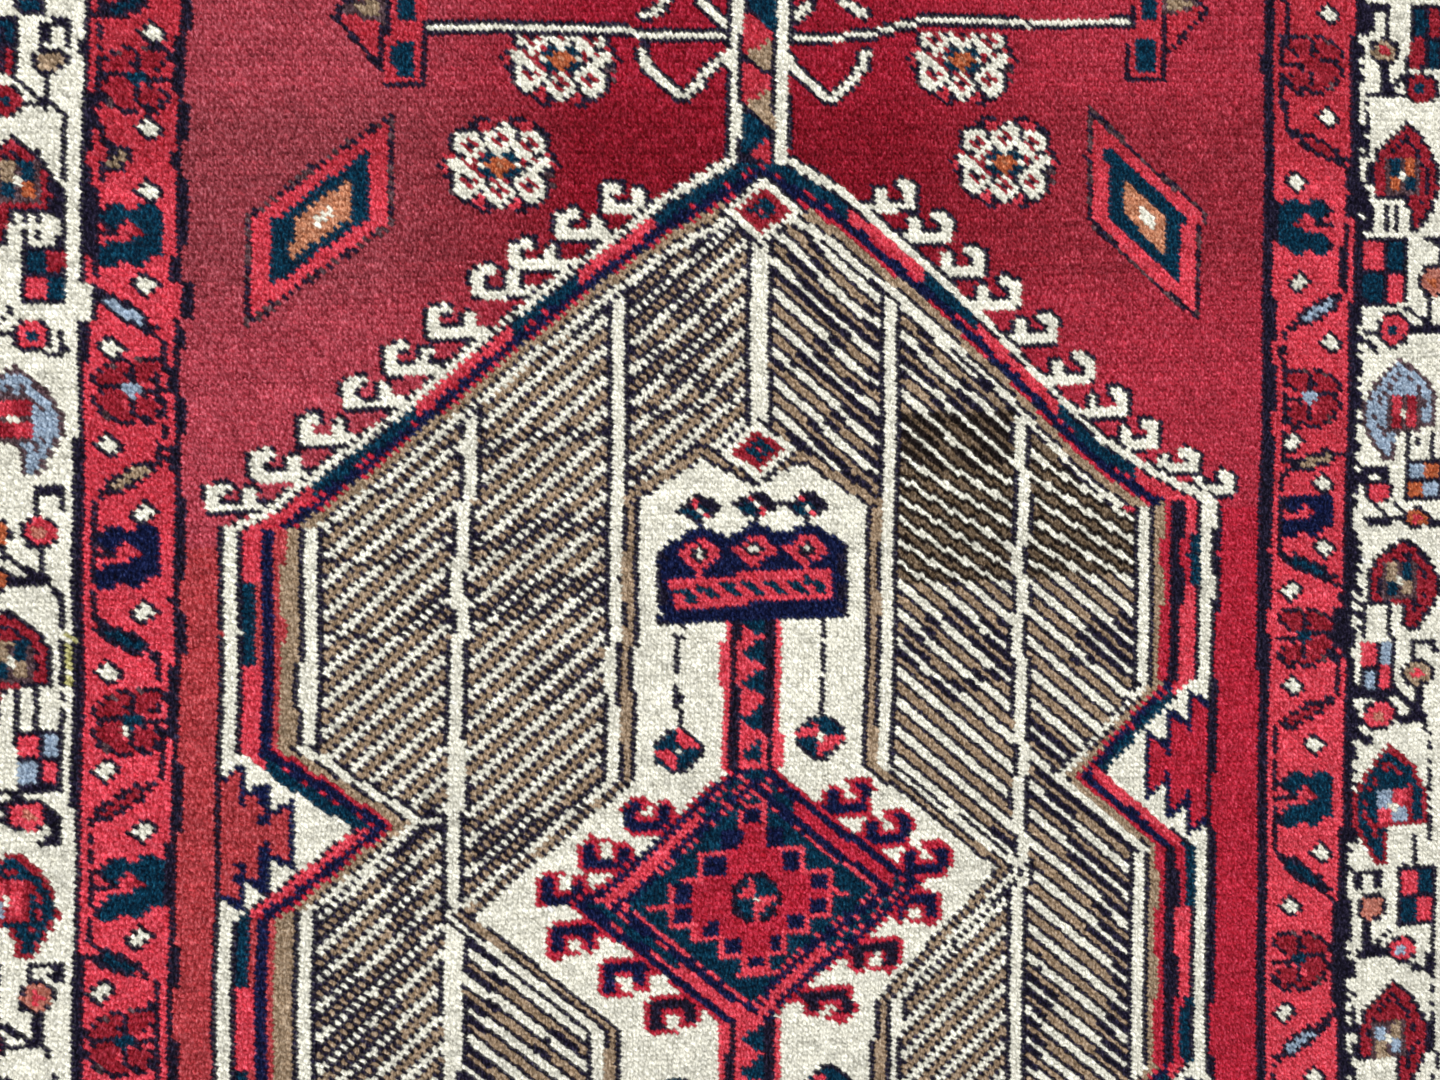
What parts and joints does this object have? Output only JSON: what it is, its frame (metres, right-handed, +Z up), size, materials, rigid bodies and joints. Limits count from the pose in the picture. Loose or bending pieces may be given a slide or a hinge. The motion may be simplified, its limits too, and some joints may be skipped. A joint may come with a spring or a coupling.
{
  "type": "cut length of hand-knotted runner rug",
  "caption": "Flat cut length of a hand-knotted wool runner rug with a cut pile, a geometric medallion field and figured borders.",
  "frame": {"origin": "on the resting surface, under the middle of the bounding box", "axes": "+Z up out of the pile, +X along the rows of knots across the runner, +Y along the warps"},
  "size_m": [0.8894, 0.7584, 0.0113],
  "materials": {
    "wool_pile": "dyed wool cut pile, matt with a faint sheen",
    "foundation": "undyed spun warps and wefts with the collars of the knots, matt"
  },
  "bodies": {
    "root": {"rug_piece": "wool_pile"}
  },
  "joints": []
}
